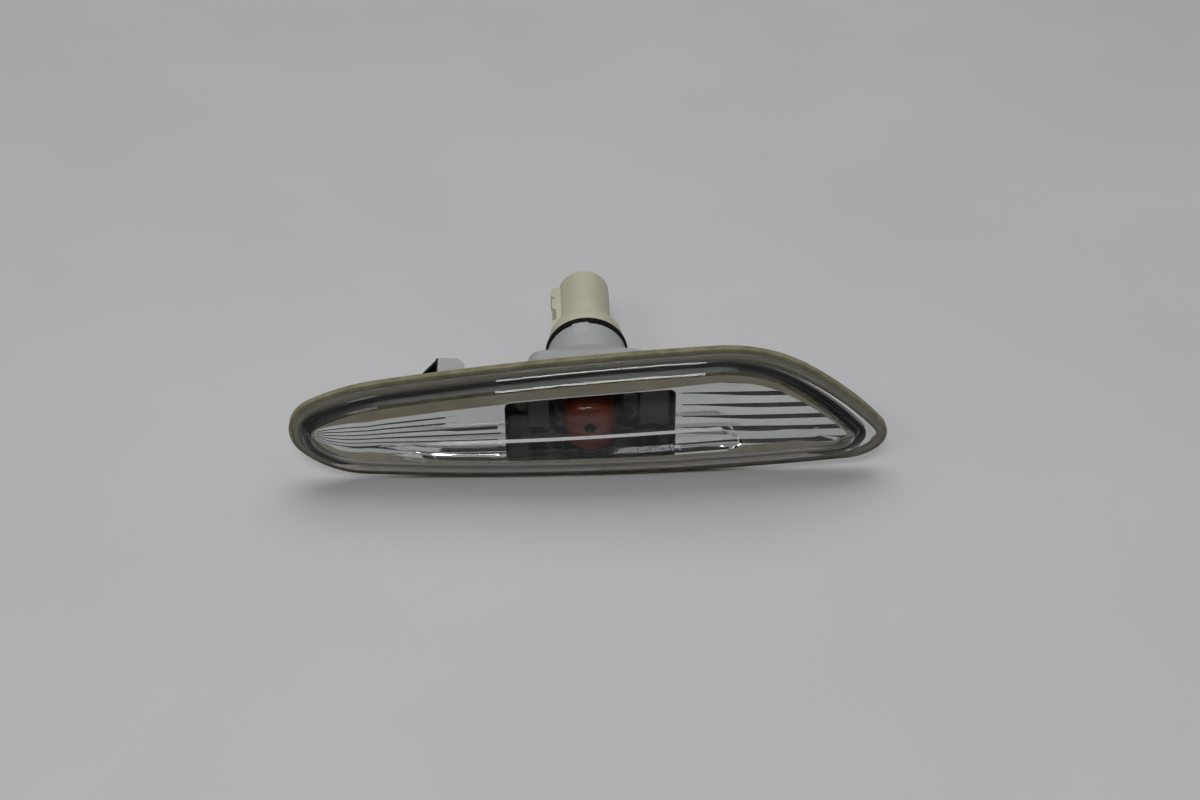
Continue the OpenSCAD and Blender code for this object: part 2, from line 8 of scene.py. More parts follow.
import bmesh
import bpy
import numpy as np
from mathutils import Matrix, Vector


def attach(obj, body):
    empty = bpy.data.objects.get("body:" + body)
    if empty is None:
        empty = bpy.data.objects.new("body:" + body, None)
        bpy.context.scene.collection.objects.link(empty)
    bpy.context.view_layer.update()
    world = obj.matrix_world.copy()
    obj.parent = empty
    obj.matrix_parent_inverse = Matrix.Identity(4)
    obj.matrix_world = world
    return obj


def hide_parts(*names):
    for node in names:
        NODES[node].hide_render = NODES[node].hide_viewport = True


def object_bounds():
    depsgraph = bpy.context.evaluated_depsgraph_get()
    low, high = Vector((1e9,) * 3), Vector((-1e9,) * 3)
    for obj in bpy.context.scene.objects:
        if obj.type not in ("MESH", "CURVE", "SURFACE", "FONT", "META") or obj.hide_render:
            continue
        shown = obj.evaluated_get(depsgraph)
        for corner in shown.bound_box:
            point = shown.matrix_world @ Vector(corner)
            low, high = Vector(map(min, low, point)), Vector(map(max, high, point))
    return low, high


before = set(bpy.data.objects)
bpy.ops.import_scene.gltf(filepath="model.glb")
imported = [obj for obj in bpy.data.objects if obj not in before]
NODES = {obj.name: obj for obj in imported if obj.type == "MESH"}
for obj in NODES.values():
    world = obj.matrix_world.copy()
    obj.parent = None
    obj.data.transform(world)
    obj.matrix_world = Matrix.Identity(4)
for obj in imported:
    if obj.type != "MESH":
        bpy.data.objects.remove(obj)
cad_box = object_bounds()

MM = 0.001
TINY = 1e-6

# Outline of the gasket: chains of arcs between angles of the outward normal, in degrees
RING_LEN = 140.0
NOSE_Z = -1.6
TIP_DROP = 4.0
TIP_RISE_SHARE = 0.3
NOSE_R = 8.7
CHEEK_R = 53.0
SHOULDER_R = 36.0
TIP_R = 5.4
TAIL_R = 12.3
CORNER_R = 1.5
TOP_ANGLES = [180, 117.5, 98.5, 92.8, 58.2, 41.2, 0]
LOW_ANGLES = [180, 225, 266, 275.8, 311, 360]
OUTLINE_STEPS = 221
PRISM_END_SHARES = (0.735, 0.8)
PRISM_END_STEPS = 40

# Lens
WELD_Y = -1.6
CONTACT = 0.01
FLANGE_Y = -2.9
FLANGE_INSET = 0.8
FOOT_INSET = 2.3
LIP_R = 0.25
LIP_STEPS = 5
EDGE_H = 2.4
CREST_RISE = 3.8
CREST_SHARE = 0.5
CREST_EXPONENT = 1.6
SWELL_EXPONENT = 0.6
CROWN_ROWS = 60
LENS_WALL = 1.9

# Facets at the foot and the lip of the lens's step, in shares of its width; light from the front
# shows on them as two lines
FOOT_FACET = 0.14
LIP_FACET = 0.2
FACET_SLOPE = 0.777
FACET_EDGE = 0.015
BEVEL_SPAN = (0.3, 0.75)
BEVEL_ROWS = 4

# Prisms inside the lens: the lines are shares of the inner wall, the steps shares of a prism
RIB_LINES = (0.555, 0.69, 0.79, 0.87)
RIB_STEPS = (0.1, 0.22, 0.26)
RIB_COUNT = len(RIB_STEPS)
RIB_DEPTH = 1.2
RIB_X0 = -50.0
RIB_X1 = 35.0
RIB_FADE = 20.0
RIB_END = 0.5
CORNER_CUT = (5.0, 3.0)
RIB_ROWS = 12
CREST_ROWS = 24
LOW_ROWS = 4

# The ring of painted shade, the olive ring and the line of painted light: how far the two faces of
# each stand in front of the weld's plane
RING_SKIN = (0.02, 0.05)
LINE_SKIN = (0.06, 0.1)
LINE_GAPS = (3.0, 5.0)
LINE_TAPER = 8.0
LINE_END_SHARE = 0.05
LINE_STEPS = 161

# Limits of the well's inside, where shade is painted on the housing, a little beyond its walls, and
# the rise of its top along x
WELL_FLOOR_Y = 6.3
WELL_HALF = 29.8
WELL_LOW = -9.2
WELL_TOP = 8.8
WELL_SLOPE = 0.049

# Walls and blocks in the well, each as (x0, x1, y0, y1, z0, z1)
WELL_RIBS = [(11.6, 18.7, 1.0, 6.1, -3.4, 7.6), (-14.5, -9.3, 3.2, 6.1, -5.5, 3.5),
             (19.6, 20.6, 0.4, 6.1, -8.6, 8.4), (-21.6, -20.6, 0.4, 6.1, -8.6, 6.6),
             (-19.0, -14.5, 4.4, 6.1, -8.6, -3.0)]
WELL_RIB_EDGE = 0.3

# Reflector
FIELD_Y = -2.6
REFLECTOR_REAR_Y = WELD_Y - 0.05
COVE_H = 0.3
BORDER_TOP = 3.15
BORDER_LOW = 2.4
BORDER_END = 0.4
BORDER_RUN = 12.0
BORDER_RUN_TIP = 50.0

# Window in the reflector
WINDOW_LEN = 39.4
WINDOW_TOP = 8.1
WINDOW_LOW = -8.4
WINDOW_RISE = 3.0
WINDOW_R = 1.6
WINDOW_FRAME = 0.2

# Flutes: left of the window they fan out and the upper ones end early, right of it they are even
FLUTES = 7
FLUTES_SHORT = 3
FLUTE_SHORT_X = -30.0
FLUTE_SHORT_FADE = 5.0
FLUTE_H = 0.5
FLUTE_NOSE_SHARE = 0.3
FLUTE_PITCH = 3.3
FLUTE_FIRST_Z = 11.8
FLUTE_MARGIN = 1.0
FLUTE_FADE = 0.4
FLUTES_FROM = WINDOW_LEN / 2 + FLUTE_MARGIN

# Grooves between the flutes: least width, what each kind gains along x, and where
GROOVE_W = 0.2
GROOVE_RUN = 20.0
GROOVE_RIGHT = 0.95
GROOVE_LEFT = 0.12
GROOVE_LEFT_X = -60.0
GROOVE_LONG = 0.75
GROOVE_LONG_X = -36.0
GROOVE_LONG_RUN = 9.0
GROOVE_TAN = 0.45
GROOVE_DEPTH_SHARE = 0.9
FLANK_SHARE = 0.45
STEP_W = 0.12
STEP_SHARE = 0.1

# Grid of the fluted field. Rows of a flute: up its flank, along its flat top, down its step
FLUTE_ROWS = 24
FLANK_ROWS = 7
STEP_ROWS = 3
FLUTE_BREAKS = [0, FLANK_ROWS, FLUTE_ROWS - STEP_ROWS, FLUTE_ROWS]
FIELD_ROWS = FLUTE_ROWS * FLUTES
WINDOW_ROWS = (FIELD_ROWS // 3, FIELD_ROWS * 2 // 3)
LEFT_COLUMNS = 90
RIGHT_COLUMNS = 110
WINDOW_COLUMNS = 40
CORNER_COLUMNS = 7
COLUMN_BREAK = 0.02
FIELD_MERGE = 2e-6

# Pad on the collar's rim: its angles from the top, and (y, outer radius) along it
TAB_ANGLES = (-20.5, 2.4)
TAB_STEPS = 13
TAB_INNER_R = 9.3
TAB_PROFILE = [(20.6, 9.66), (22.6, 9.9), (24.2, 10.15), (24.45, 10.12), (24.56, 10.0)]

# Half sections of the turned pieces: (radius, y)
PIP_PROFILE = [(0.0, -5.35), (0.28, -5.32), (0.5, -5.18), (0.62, -4.98), (0.7, -4.76),
               (0.85, -4.58), (1.2, -4.46), (1.75, -4.36), (2.2, -4.2)]
PIP_HEIGHT = 0.8
PIP_SIDES = 32
GRIP_PROFILE = [(6.2, 34.2), (6.5, 34.1), (6.7, 33.5), (7.1, 32.8), (7.7, 32.3), (8.5, 32.05),
                (8.9, 31.95), (9.05, 31.8), (9.1, 31.55), (9.1, 27.1), (9.0, 26.8),
                (8.8, 26.65), (8.2, 26.6), (6.2, 26.6), (6.2, 34.2)]
GRIP_SIDES = 96

# Widths of the rounded edges on nodes of the part
NODE_EDGES = [("bulb_holder", 0.15), ("seal_ring", 0.4), ("retaining_spring", 0.08)]
EDGE_SEGMENTS = 3

# Angles from which an edge counts as sharp, in degrees
EDGE_SHARP = 35
INSERT_SHARP = 12
BORDER_SHARP = 50

# Looks: greys of the housing, painted shade and blotches of painted shadow for its well, height of
# a moulded grain in metres, and how noise is stretched so that it runs along an axis
HOUSING_GREYS = (0.36, 0.37, 0.37), (0.43, 0.44, 0.44)
WELL_PAINTED_SHADE = [(0.44, (0.002, 0.002, 0.002)), (0.5, (0.02, 0.022, 0.018)),
                 (0.56, (0.11, 0.115, 0.1))]
GRAIN_H = 0.00006
ALONG_Y = (1, 0.1, 1)
ALONG_X = (0.3, 1, 1)

# Sockets of a Mix node that take and give colours
MIX_FACTOR, MIX_A, MIX_B, MIX_RESULT = 0, 6, 7, 2

# Stage, in metres
FLOOR_HALF = 3.0
FLOOR_GAP = 0.0001

# Brightness of the surroundings, from straight below at 0 to straight above at 1
SKY = [(0.0, 0.03), (0.5, 0.02), (0.72, 0.02), (0.82, 0.2), (1.0, 0.3)]
SKY_BLUE = 1.03

# Lights, aimed at the origin: name, place and size in metres, power in watts
LIGHTS = [("overhead_softbox", (0.0, 0.35, 0.9), (0.9, 0.9), 3.75),
          ("front_strip", (-0.08, -0.65, 0.776), (0.25, 0.14), 2.3),
          ("left_strip", (-0.46, -0.58, 0.68), (0.4, 0.12), 0.8)]

# Camera: angles in degrees, metres, and the photograph's focal length and width in pixels
ELEVATION = 36.0
AZIMUTH = -2.0
DISTANCE = 0.416
TARGET = (0.00236, 0.0, 0.00454)
CLIP_START = 0.01
FOCAL_PX = 1793.0
FRAME_PX = 1200.0
SENSOR = 36.0


def arc_span(a0, a1):
    """Step along an arc of radius 1 between two angles of its outward normal, in degrees."""
    p, q = math.radians(a0), math.radians(a1)
    return np.array([math.cos(q) - math.cos(p), math.sin(q) - math.sin(p)])


def closed_radii(angles, radii, i, j, span):
    """The radii with those at i and j worked out so that the chain of arcs covers span."""
    spans = [arc_span(a, b) for a, b in zip(angles, angles[1:])]
    given = sum((r * s for k, (r, s) in enumerate(zip(radii, spans)) if k not in (i, j)),
                np.zeros(2))
    solved = list(radii)
    solved[i], solved[j] = np.linalg.solve(np.column_stack([spans[i], spans[j]]), span - given)
    return solved


def placed_arcs(angles, radii, at):
    """Each arc of a chain as (centre x, centre z, radius, last x)."""
    arcs = []
    for r, a0, a1 in zip(radii, angles, angles[1:]):
        p, q = math.radians(a0), math.radians(a1)
        cx, cz = at[0] - r * math.cos(p), at[1] - r * math.sin(p)
        at = (cx + r * math.cos(q), cz + r * math.sin(q))
        arcs.append((cx, cz, r, at[0]))
    return arcs


class Outline:
    """The lamp's outline moved in by inset, or by low along its bottom; pull moves its tip in."""

    def __init__(self, inset, pull=0.0, low=None):
        low = inset if low is None else low
        at = (-RING_LEN / 2 + inset, NOSE_Z)
        span = np.array([RING_LEN - 2 * inset - pull, -TIP_DROP + TIP_RISE_SHARE * pull])
        upper = [max(NOSE_R - inset, CORNER_R), CHEEK_R - inset, 0, SHOULDER_R - inset, 0,
                 max(TIP_R - inset, CORNER_R)]
        lower = [max(NOSE_R - low, CORNER_R), 0, 0, max(TAIL_R - low, CORNER_R),
                 max(TIP_R - low, CORNER_R)]
        self.upper = placed_arcs(TOP_ANGLES, closed_radii(TOP_ANGLES, upper, 2, 4, span), at)
        self.lower = placed_arcs(LOW_ANGLES, closed_radii(LOW_ANGLES, lower, 1, 2, span), at)
        self.x0, self.x1 = at[0], at[0] + span[0]

    @staticmethod
    def _z(arcs, side, x):
        x = np.asarray(x, float)
        z = np.zeros_like(x)
        end = arcs[-1][-1]
        for cx, cz, r, last in reversed(arcs):
            on = (x <= last + TINY) | (last == end)
            z = np.where(on, cz + side * np.sqrt(np.maximum(0, r * r - (x - cx) ** 2)), z)
        return z

    def top(self, x):
        return self._z(self.upper, 1, x)

    def low(self, x):
        return self._z(self.lower, -1, x)

    def stations(self):
        return self.x0 + (self.x1 - self.x0) * STEPS

    def ring(self):
        """Points (x, z) round the outline, the top to the right and then the bottom back."""
        x = self.stations()
        back = x[-2:0:-1]
        return np.column_stack([np.concatenate([x, back]),
                                np.concatenate([self.top(x), self.low(back)])])


def close_at_ends(count):
    """Shares from 0 to 1, closer together at both ends."""
    return (1 - np.cos(np.linspace(0, np.pi, count))) / 2


def quarter_turn(count):
    """Angles from 0 to a right angle."""
    return np.linspace(0, np.pi / 2, count)


# Shares of an outline's length: close together at its ends and where the prisms end
STEPS = np.union1d(close_at_ends(OUTLINE_STEPS), np.linspace(*PRISM_END_SHARES, PRISM_END_STEPS))

# Outlines of the lens, the reflector, and the two edges of each ring and line of painted light and
# shade
FLANGE_EDGE = Outline(FLANGE_INSET)
FLANGE_FOOT = Outline(FOOT_INSET, 1.5)
CROWN_EDGE = Outline(4.3, 3, low=2.9)
CAVITY_EDGE = Outline(5.5, 3)
CAVITY_FOOT = Outline(5.2, 2.6)
REFLECTOR_EDGE = Outline(5.9, 4)
SHADE_RING_EDGES = Outline(3.5, 2.3), Outline(5.15, 2.5)
SEAT_EDGES = Outline(1.1), Outline(2.8)
LINE_EDGES = Outline(2.5, 1), Outline(5.1, 2.4)


def eased(t):
    t = np.clip(t, 0, 1)
    return t * t * (3 - 2 * t)


def flank(low, high, t):
    return low + (high - low) * (1 - (1 - t) ** CREST_EXPONENT)


def crown_h(x, z):
    """Height of the crown over the flange."""
    middle, half = (CROWN_EDGE.x0 + CROWN_EDGE.x1) / 2, (CROWN_EDGE.x1 - CROWN_EDGE.x0) / 2
    swell = np.maximum(0, 1 - ((x - middle) / half) ** 2) ** SWELL_EXPONENT
    zt, zb = CROWN_EDGE.top(x), CROWN_EDGE.low(x)
    v = np.clip((zt - z) / np.maximum(zt - zb, TINY), 0, 1)
    t = np.minimum(v / CREST_SHARE, (1 - v) / (1 - CREST_SHARE))
    return flank(EDGE_H, EDGE_H + CREST_RISE * swell, np.clip(t, 0, 1))


def make_mesh(name, points, faces, smooth=True):
    """A mesh object from points in millimetres, without the faces that aren't valid."""
    mesh = bpy.data.meshes.new(name)
    mesh.from_pydata([tuple(p) for p in np.asarray(points) * MM], [], faces)
    mesh.validate()
    mesh.update()
    mesh.polygons.foreach_set("use_smooth", [smooth] * len(mesh.polygons))
    piece = bpy.data.objects.new(name, mesh)
    bpy.context.scene.collection.objects.link(piece)
    return piece


def grid_faces(rows, columns, base=0, closed=False, keep=None):
    """Quads over a grid of points, a row at a time. keep(row, column) leaves out the others."""
    faces = []
    across = columns if closed else columns - 1
    for r in range(rows - 1):
        for c in range(across):
            if keep is None or keep(r, c):
                a, b = base + r * columns + c, base + r * columns + (c + 1) % columns
                faces.append((a, b, b + columns, a + columns))
    return faces


def at_depth(ring, y):
    """Points (x, z) as points (x, y, z), where y is one number or one for each point."""
    return np.column_stack([ring[:, 0], np.broadcast_to(y, len(ring)), ring[:, 1]])


def oriented(piece, merge=1e-7):
    """Merges points that coincide, turns all faces outward and shades them smooth."""
    bm = bmesh.new()
    bm.from_mesh(piece.data)
    bmesh.ops.remove_doubles(bm, verts=bm.verts, dist=merge)
    bmesh.ops.dissolve_degenerate(bm, edges=bm.edges, dist=merge)
    bmesh.ops.recalc_face_normals(bm, faces=bm.faces)
    bm.to_mesh(piece.data)
    bm.free()
    piece.data.polygons.foreach_set("use_smooth", [True] * len(piece.data.polygons))
    return piece


def sharpen(piece, degrees):
    """Marks the edges steeper than an angle as sharp, so that the shading breaks there."""
    piece.data.set_sharp_from_angle(angle=math.radians(degrees))
    return piece


def rounded(piece, width):
    """Rounds the edges of a piece, width in millimetres."""
    bevel = piece.modifiers.new("rounding", "BEVEL")
    bevel.width = width * MM
    bevel.segments = EDGE_SEGMENTS
    bevel.limit_method = "ANGLE"
    bevel.angle_limit = math.radians(EDGE_SHARP)
    bevel.harden_normals = True
    return piece


def set_stops(ramp, stops):
    """Gives a colour ramp its stops (position, colour), where a single number is a grey."""
    while len(ramp.elements) < len(stops):
        ramp.elements.new(0.5)
    for element, (at, colour) in zip(ramp.elements, stops):
        element.position = at
        element.color = (*colour, 1) if isinstance(colour, tuple) else (colour, colour, colour, 1)


class Material:
    """A node material with short helpers for the procedural textures used here."""

    def __init__(self, name):
        self.material = bpy.data.materials.new(name)
        self.material.use_nodes = True
        tree = self.material.node_tree
        self.nodes, self.links = tree.nodes, tree.links
        self.shader = self.nodes["Principled BSDF"]
        self.place = self.nodes.new("ShaderNodeTexCoord").outputs["Object"]

    def set(self, **values):
        for name, value in values.items():
            self.shader.inputs[name.replace("_", " ")].default_value = value

    def noise(self, scale, detail=3.0, rough=0.5, stretch=None):
        """Noise at a scale of cells per metre; stretch gives each axis its own factor."""
        node = self.nodes.new("ShaderNodeTexNoise")
        node.inputs["Scale"].default_value = scale
        node.inputs["Detail"].default_value = detail
        node.inputs["Roughness"].default_value = rough
        place = self.place
        if stretch:
            mapping = self.nodes.new("ShaderNodeMapping")
            mapping.inputs["Scale"].default_value = stretch
            self.links.new(place, mapping.inputs["Vector"])
            place = mapping.outputs["Vector"]
        self.links.new(place, node.inputs["Vector"])
        return node.outputs["Fac"]

    def ramp(self, value, stops):
        node = self.nodes.new("ShaderNodeValToRGB")
        set_stops(node.color_ramp, stops)
        self.links.new(value, node.inputs["Fac"])
        return node.outputs["Color"]

    def tones(self, value, low, high):
        """A ramp from one colour or grey to another over the middle of a noise's range."""
        return self.ramp(value, [(0.3, low), (0.7, high)])

    def colour(self, value, low, high):
        self.links.new(self.tones(value, low, high), self.shader.inputs["Base Color"])

    def roughness(self, value, low, high):
        self.links.new(self.tones(value, low, high), self.shader.inputs["Roughness"])

    def bump(self, value, strength, distance):
        """Adds a relief to any before it; distance is its height in metres."""
        node = self.nodes.new("ShaderNodeBump")
        node.inputs["Strength"].default_value = strength
        node.inputs["Distance"].default_value = distance
        earlier = self.shader.inputs["Normal"].links
        if earlier:
            self.links.new(earlier[0].from_socket, node.inputs["Normal"])
        self.links.new(value, node.inputs["Height"])
        self.links.new(node.outputs["Normal"], self.shader.inputs["Normal"])

    def calc(self, operation, a, b):
        """A Math node on two sockets or numbers."""
        node = self.nodes.new("ShaderNodeMath")
        node.operation = operation
        for socket, value in zip(node.inputs, (a, b)):
            if isinstance(value, (int, float)):
                socket.default_value = value
            else:
                self.links.new(value, socket)
        return node.outputs["Value"]


def clear_plastic():
    m = Material("clear_plastic")
    m.set(Transmission_Weight=1.0, IOR=1.49, Base_Color=(0.985, 0.99, 0.985, 1),
          Specular_Tint=(0.45, 0.45, 0.45, 1))
    m.roughness(m.noise(60, 4), 0.0, 0.03)
    m.bump(m.noise(90, 2), 0.03, 0.0002)
    return m.material


def bright_metal():
    m = Material("metallised_film")
    m.set(Metallic=1.0)
    m.colour(m.noise(40, 4), (0.62, 0.63, 0.63), (0.72, 0.72, 0.71))
    m.roughness(m.noise(150, 3), 0.03, 0.08)
    m.bump(m.noise(220, 2, stretch=ALONG_X), 0.07, 0.0002)
    return m.material


def tan_border():
    # Tan on a metallised rim: a painted reflection of the olive gasket that the rim faces
    m = Material("tan_painted_reflection")
    m.set(Metallic=0.8)
    m.colour(m.noise(60, 4, stretch=ALONG_X), (0.30, 0.27, 0.20), (0.38, 0.35, 0.27))
    m.roughness(m.noise(200, 3), 0.25, 0.4)
    m.bump(m.noise(500, 3), 0.1, 0.0001)
    return m.material


def foam():
    m = Material("olive_foam")
    m.set(Metallic=0.0)
    m.colour(m.noise(350, 6), (0.17, 0.155, 0.088), (0.29, 0.27, 0.17))
    m.roughness(m.noise(300, 3), 0.75, 0.95)
    m.bump(m.noise(1800, 5, 0.7), 0.6, 0.0002)
    return m.material


def moulded_surface(m, rough=(0.35, 0.5), grain=900):
    """The gloss of moulded plastic, its fine grain and its faint waves."""
    m.roughness(m.noise(180, 4), *rough)
    m.bump(m.noise(grain, 3), 0.35, GRAIN_H)
    m.bump(m.noise(60, 2), 0.2, GRAIN_H * 4)


def moulded(name, dark, light, shine=0.5, **surface):
    m = Material(name)
    m.set(Specular_IOR_Level=shine)
    m.colour(m.noise(45, 5), dark, light)
    moulded_surface(m, **surface)
    return m.material


def housing_plastic():
    """Light grey plastic, with painted shade inside the well that the window looks into: nearly
    black there, with blotches of painted shadow.
    """
    m = Material("grey_plastic")
    split = m.nodes.new("ShaderNodeSeparateXYZ")
    m.links.new(m.place, split.inputs["Vector"])
    x, y, z = (split.outputs[axis] for axis in "XYZ")
    level = m.calc("SUBTRACT", z, m.calc("MULTIPLY", x, WELL_SLOPE))
    inside = m.calc("LESS_THAN", y, WELL_FLOOR_Y * MM)
    for within in (m.calc("GREATER_THAN", z, WELL_LOW * MM),
                   m.calc("LESS_THAN", m.calc("ABSOLUTE", x, 0), WELL_HALF * MM),
                   m.calc("LESS_THAN", level, WELL_TOP * MM)):
        inside = m.calc("MULTIPLY", inside, within)
    # Inside the well the grey gives way to painted shade: nearly black, with blotches of painted
    # shadow
    mix = m.nodes.new("ShaderNodeMix")
    mix.data_type = "RGBA"
    m.links.new(inside, mix.inputs[MIX_FACTOR])
    m.links.new(m.tones(m.noise(45, 5), *HOUSING_GREYS), mix.inputs[MIX_A])
    m.links.new(m.ramp(m.noise(210, 3, 0.6), WELL_PAINTED_SHADE), mix.inputs[MIX_B])
    m.links.new(mix.outputs[MIX_RESULT], m.shader.inputs["Base Color"])
    moulded_surface(m)
    return m.material


def metal(name, dark, light):
    """Drawn or rolled metal with faint lines along y."""
    m = Material(name)
    m.set(Metallic=1.0)
    m.colour(m.noise(300, 4, stretch=ALONG_Y), dark, light)
    m.roughness(m.noise(500, 4), 0.2, 0.4)
    m.bump(m.noise(900, 3, stretch=ALONG_Y), 0.2, 0.00005)
    return m.material


def amber():
    m = Material("amber_coating")
    m.set(Transmission_Weight=0.5, IOR=1.5, Specular_IOR_Level=0.3)
    m.colour(m.noise(120, 4), (0.22, 0.032, 0.01), (0.34, 0.05, 0.016))
    m.roughness(m.noise(200, 3), 0.04, 0.12)
    m.bump(m.noise(300, 2), 0.1, 0.0001)
    return m.material


def floor_paint():
    m = Material("pale_floor")
    m.colour(m.noise(12, 5), (0.60, 0.60, 0.61), (0.63, 0.63, 0.64))
    m.roughness(m.noise(40, 3), 0.6, 0.7)
    m.bump(m.noise(900, 3), 0.1, 0.0001)
    return m.material


def faceted_step():
    """Shares across and up the lens's stepped side: a flat facet at its foot and at its lip.

    A row stands close beside each edge, so that the shading breaks there.
    """
    corners = np.array([0, FOOT_FACET, 1 - LIP_FACET, 1])
    levels = [0, FOOT_FACET * FACET_SLOPE, 1 - LIP_FACET * FACET_SLOPE, 1]
    beside = np.concatenate([corners - FACET_EDGE, corners, corners + FACET_EDGE])
    across = np.union1d(beside[(beside >= 0) & (beside <= 1)], np.linspace(*BEVEL_SPAN, BEVEL_ROWS))
    return list(zip(across, np.interp(across, corners, levels)))


def profile_band(ring_a, ring_b, profile, y0, y1):
    """Rings between two outlines, at the profile's shares of the way across and of the way up."""
    return [at_depth(ring_a + (ring_b - ring_a) * across, y0 + (y1 - y0) * up)
            for across, up in profile]


def lens_rows(outline, shares, surface):
    """Rows of points over the inside of an outline, at shares of its height."""
    x = outline.stations()
    rows = []
    for share in shares:
        z = outline.top(x) + (outline.low(x) - outline.top(x)) * share
        rows.append(np.column_stack([x, surface(x, z, share), z]))
    return rows


def prism_h(x, share):
    """How far the prisms stand in from the inner wall of the crown: a step, then a long slope."""
    q = np.interp(share, RIB_LINES, range(RIB_COUNT + 1))
    if q <= 0 or q >= RIB_COUNT - TINY:
        return np.zeros_like(x)
    part, step = q % 1, RIB_STEPS[int(q)]
    across = min(part / step, (1 - part) / (1 - step))
    end = RIB_X1 - CORNER_CUT[0] * max(0, 1 - q) - CORNER_CUT[1] * max(0, q - RIB_COUNT + 1)
    faded = eased((x - RIB_X0) / RIB_FADE) * np.clip((end - x) / RIB_END, 0, 1)
    return RIB_DEPTH * across * faded


def inner_shares():
    """Rows of the lens's inner wall: the crest, every prism with its ridge, the strip below."""
    prisms = [k + np.append(np.linspace(0, 1, RIB_ROWS, endpoint=False), step)
              for k, step in enumerate(RIB_STEPS)]
    lines = np.interp(np.concatenate(prisms), range(RIB_COUNT + 1), RIB_LINES)
    crest = np.linspace(0, RIB_LINES[0], CREST_ROWS + 1)
    return np.union1d(crest, np.append(lines, np.linspace(RIB_LINES[-1], 1, LOW_ROWS + 1)))


def outer_wall(x, z, _):
    return FLANGE_Y - crown_h(x, z)


def inner_wall(x, z, share):
    return FLANGE_Y - crown_h(x, z) + LENS_WALL + prism_h(x, share)


def lens_cover():
    """The clear cover: flange, stepped side, crown, inner wall with its prisms."""
    rear, foot, crown, cavity, inner_foot = (
        edge.ring() for edge in (FLANGE_EDGE, FLANGE_FOOT, CROWN_EDGE, CAVITY_EDGE, CAVITY_FOOT))
    seat_y = WELD_Y + CONTACT
    crown_y = FLANGE_Y - crown_h(crown[:, 0], crown[:, 1])
    cavity_y = FLANGE_Y - crown_h(cavity[:, 0], cavity[:, 1]) + LENS_WALL
    side = [at_depth(rear, seat_y)]
    for a in quarter_turn(LIP_STEPS):
        inward = (foot - rear) * (LIP_R * (1 - math.cos(a)) / (FOOT_INSET - FLANGE_INSET))
        side.append(at_depth(rear + inward, FLANGE_Y + LIP_R * (1 - math.sin(a))))
    side += profile_band(foot, crown, faceted_step(), FLANGE_Y, crown_y)
    outer = lens_rows(CROWN_EDGE, np.linspace(0, 1, CROWN_ROWS + 1), outer_wall)
    inner = lens_rows(CAVITY_EDGE, inner_shares(), inner_wall)
    wall = [at_depth(cavity, cavity_y), at_depth(inner_foot, seat_y), at_depth(rear, seat_y)]
    points, faces, base = [], [], 0
    for rows, closed in ((side, True), (outer, False), (inner, False), (wall, True)):
        points += rows
        faces += grid_faces(len(rows), len(rows[0]), base, closed)
        base += len(rows) * len(rows[0])
    return sharpen(oriented(make_mesh("lens_cover", np.vstack(points), faces)), EDGE_SHARP)


def border_width(x, width, tip_run):
    grown = np.minimum((x - REFLECTOR_EDGE.x0) / BORDER_RUN, (REFLECTOR_EDGE.x1 - x) / tip_run)
    return BORDER_END + (width - BORDER_END) * np.minimum(1, grown)


def field_ring():
    """The edge of the fluted field: the reflector's edge moved in by the width of the border."""
    ring = REFLECTOR_EDGE.ring()
    along = np.roll(ring, -1, axis=0) - np.roll(ring, 1, axis=0)
    inward = np.column_stack([along[:, 1], -along[:, 0]]) / np.linalg.norm(along, axis=1)[:, None]
    upper = np.arange(len(ring)) < len(STEPS)
    width = np.where(upper, border_width(ring[:, 0], BORDER_TOP, BORDER_RUN_TIP),
                     border_width(ring[:, 0], BORDER_LOW, BORDER_RUN))
    return ring + inward * width[:, None]


FIELD = field_ring()
FIELD_TOP = FIELD[:len(STEPS)]
FIELD_LOW = np.vstack([FIELD[:1], FIELD[:len(STEPS) - 2:-1]])


def field_top(x):
    return np.interp(x, FIELD_TOP[:, 0], FIELD_TOP[:, 1])


def field_low(x):
    return np.interp(x, FIELD_LOW[:, 0], FIELD_LOW[:, 1])


def crown_level(x):
    """Height of the flutes' flat tops over the sheet."""
    return FLUTE_H * np.interp(x, [FIELD_TOP[0, 0], -FLUTES_FROM], [FLUTE_NOSE_SHARE, 1])


def groove_width(x, flute):
    """Width of the groove at the upper edge of a flute, in millimetres."""
    if x > 0:
        return GROOVE_W + GROOVE_RIGHT * eased((x - FLUTES_FROM) / GROOVE_RUN)
    width = GROOVE_W + GROOVE_LEFT * eased((x - GROOVE_LEFT_X) / GROOVE_RUN)
    if flute == FLUTES_SHORT:
        width += GROOVE_LONG * eased((x - GROOVE_LONG_X) / GROOVE_LONG_RUN)
    return width


def groove_depth(x, flute):
    if flute == 0 and x < 0:
        return 0.0
    ends_early = x < 0 and flute < FLUTES_SHORT
    fade = eased((FLUTE_SHORT_X - x) / FLUTE_SHORT_FADE) if ends_early else 1.0
    return min(GROOVE_TAN * groove_width(x, flute), GROOVE_DEPTH_SHARE * crown_level(x)) * fade


def flute_rows(x, flute, top, pitch):
    """z of a flute's rows at one x."""
    rise = min(groove_width(x, flute), FLANK_SHARE * pitch)
    step = min(STEP_W, STEP_SHARE * pitch)
    return top - np.interp(np.arange(FLUTE_ROWS), FLUTE_BREAKS, [0, rise, pitch - step, pitch])


